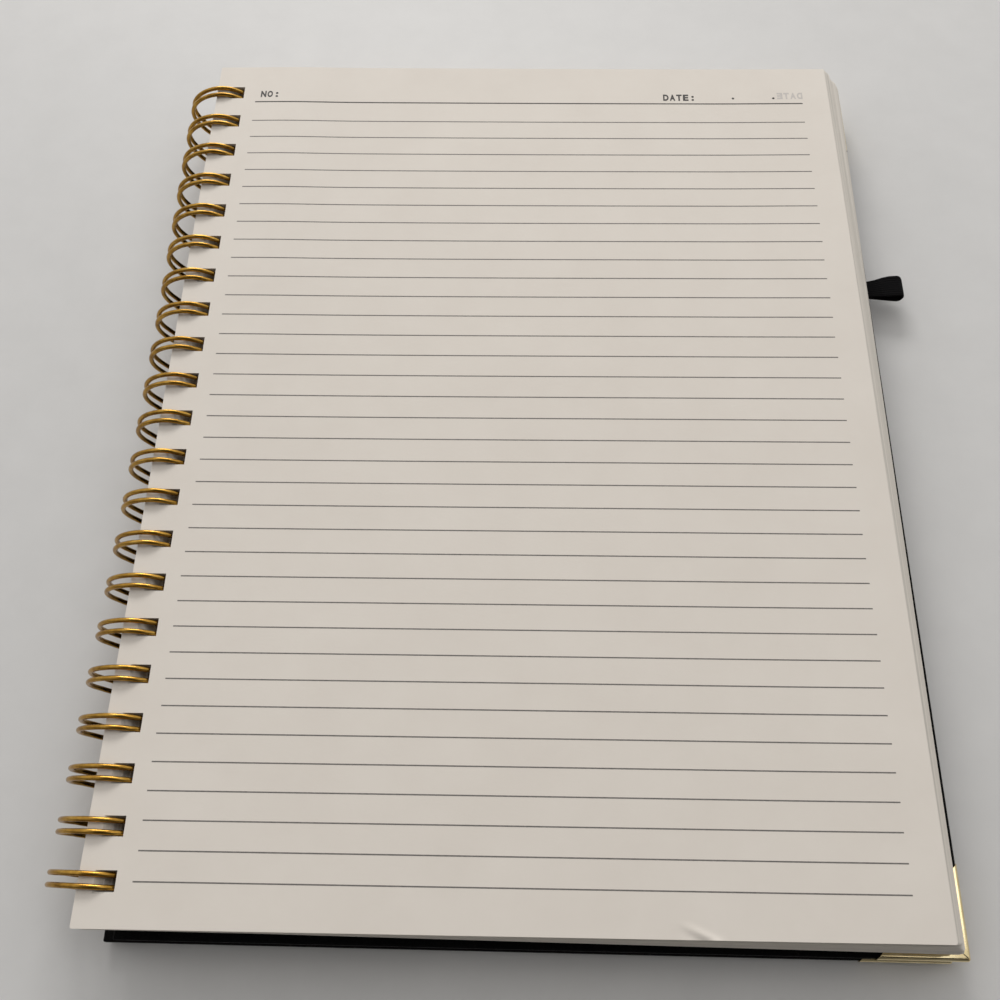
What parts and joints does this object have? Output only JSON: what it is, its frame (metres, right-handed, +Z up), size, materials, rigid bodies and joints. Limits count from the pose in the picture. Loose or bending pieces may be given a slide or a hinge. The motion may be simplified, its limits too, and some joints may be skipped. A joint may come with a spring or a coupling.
{
  "type": "spiral notebook",
  "caption": "Ruled hard-cover notebook on a twin-loop wire binding, lying open with its covers turned under, with metal corners and an elastic pen loop.",
  "frame": {"origin": "middle of the whole notebook, on the table it lies on", "axes": "+X from the wire binding to the fore-edge, +Y up the page, +Z up from the table"},
  "size_m": [0.2378, 0.2804, 0.0248],
  "materials": {
    "paper": "matte",
    "gold_wire": "satin",
    "cover": "fine grain",
    "gold_corner": "polished",
    "elastic": "woven"
  },
  "bodies": {
    "front_cover": {"front_cover_board": "cover", "front_cover_corner_top": "gold_corner", "front_cover_corner_bottom": "gold_corner"},
    "back_cover": {"back_cover_board": "cover", "back_cover_corner_top": "gold_corner", "back_cover_corner_bottom": "gold_corner", "pen_loop": "elastic"},
    "book_block": {"page_block": "paper", "twin_loop_wire": "gold_wire"}
  },
  "joints": [
    {"name": "back_cover_turn", "type": "hinge", "parent": "front_cover", "child": "back_cover", "pos_m": [-0.10654, 0, 0.01239], "axis": [0, 1, 0], "range_deg": [-100, 0]},
    {"name": "sheets_turn", "type": "hinge", "parent": "back_cover", "child": "book_block", "pos_m": [-0.10654, 0, 0.01239], "axis": [0, 1, 0], "range_deg": [-65, 0]}
  ]
}
